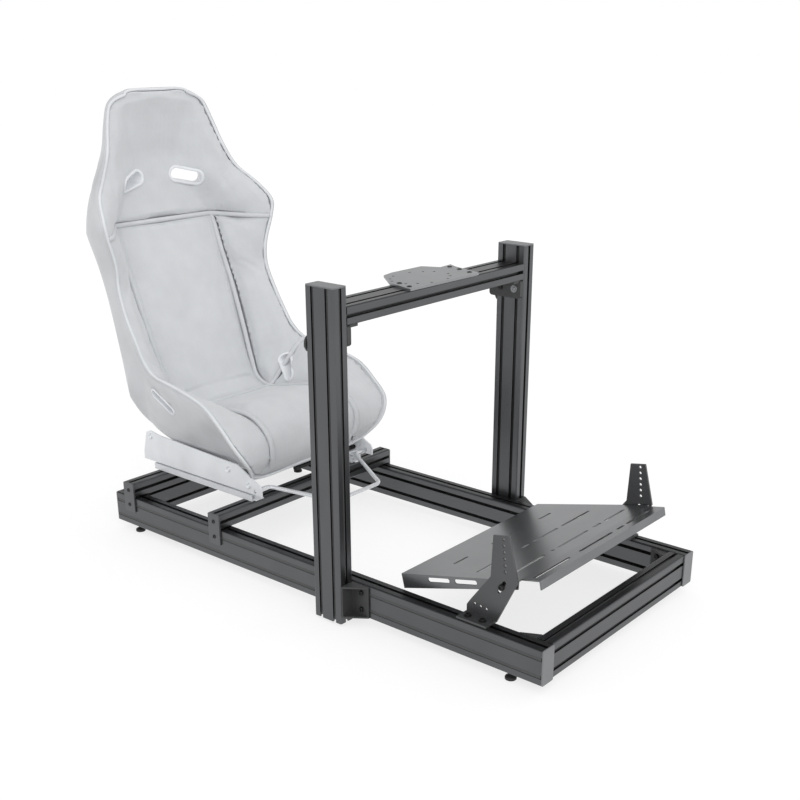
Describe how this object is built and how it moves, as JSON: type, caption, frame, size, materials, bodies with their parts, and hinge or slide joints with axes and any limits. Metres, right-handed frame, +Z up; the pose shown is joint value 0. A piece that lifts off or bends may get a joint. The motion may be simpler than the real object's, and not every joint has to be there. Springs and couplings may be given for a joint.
{
  "type": "sim racing cockpit",
  "caption": "Slotted aluminium racing cockpit frame with a wheel beam and plate, a tilted pedal tray and a bucket seat on sliders.",
  "frame": {"origin": "on the floor, in the middle of the cockpit's width and length", "axes": "+Y from the pedals to the seat back, +X to the driver's left, +Z up"},
  "size_m": [0.715, 1.521, 1.102],
  "materials": {
    "profile": "dark anodised, satin",
    "cap": "satin",
    "bracket": "dark powder coat",
    "side_plate": "fine powder coat",
    "sheet": "satin grey coat",
    "black_plastic": "matte",
    "black_steel": "black oxide",
    "pale_steel": "pale grey satin",
    "bright_steel": "zinc plated",
    "seat_shell": "pale grey moulded shell",
    "seat_fabric": "pale grey knit"
  },
  "bodies": {
    "frame": {"rail_left": "profile", "rail_right": "profile", "crossbar_front": "profile", "crossbar_rear": "profile", "rail_slot_covers": "black_plastic", "rail_end_caps": "cap", "levelling_feet": "black_plastic", "corner_brackets": "bracket", "upright_left": "profile", "upright_right": "profile", "upright_caps": "cap", "upright_brackets": "bracket", "wheel_beam": "profile", "beam_bracket_left": "bracket", "beam_bracket_right": "bracket", "clamp_discs": "black_plastic", "wheel_plate": "sheet", "wheel_plate_bolts": "black_steel", "pedal_bracket_left": "side_plate", "pedal_bracket_right": "side_plate", "pedal_tray": "sheet", "pedal_bolts": "black_steel", "seat_crossbar_front": "profile", "seat_crossbar_rear": "profile", "seat_bar_plates": "cap", "slider_rail_left": "pale_steel", "slider_rail_right": "pale_steel"},
    "seat": {"slider_runner_left": "pale_steel", "slider_runner_right": "pale_steel", "side_mount_left": "pale_steel", "side_mount_right": "pale_steel", "seat_bolts": "bright_steel", "latch_rod": "black_steel", "seat_shell": "seat_shell", "seat_cushion": "seat_fabric", "thigh_bolster_left": "seat_fabric", "thigh_bolster_right": "seat_fabric", "back_pad": "seat_fabric", "side_bolster_left": "seat_fabric", "side_bolster_right": "seat_fabric", "head_pad": "seat_fabric"},
    "release": {"release_bar": "pale_steel"}
  },
  "joints": [
    {"name": "seat_slide", "type": "slide", "parent": "frame", "child": "seat", "axis": [0, 1, 0], "range_m": [-0.1, 0.1]},
    {"name": "release_lift", "type": "hinge", "parent": "seat", "child": "release", "pos_m": [0, 0.1705, 0.175], "axis": [-1, 0, 0], "range_deg": [0, 10], "stiffness_Nm_per_rad": 1.5, "springref_deg": -11.46}
  ]
}
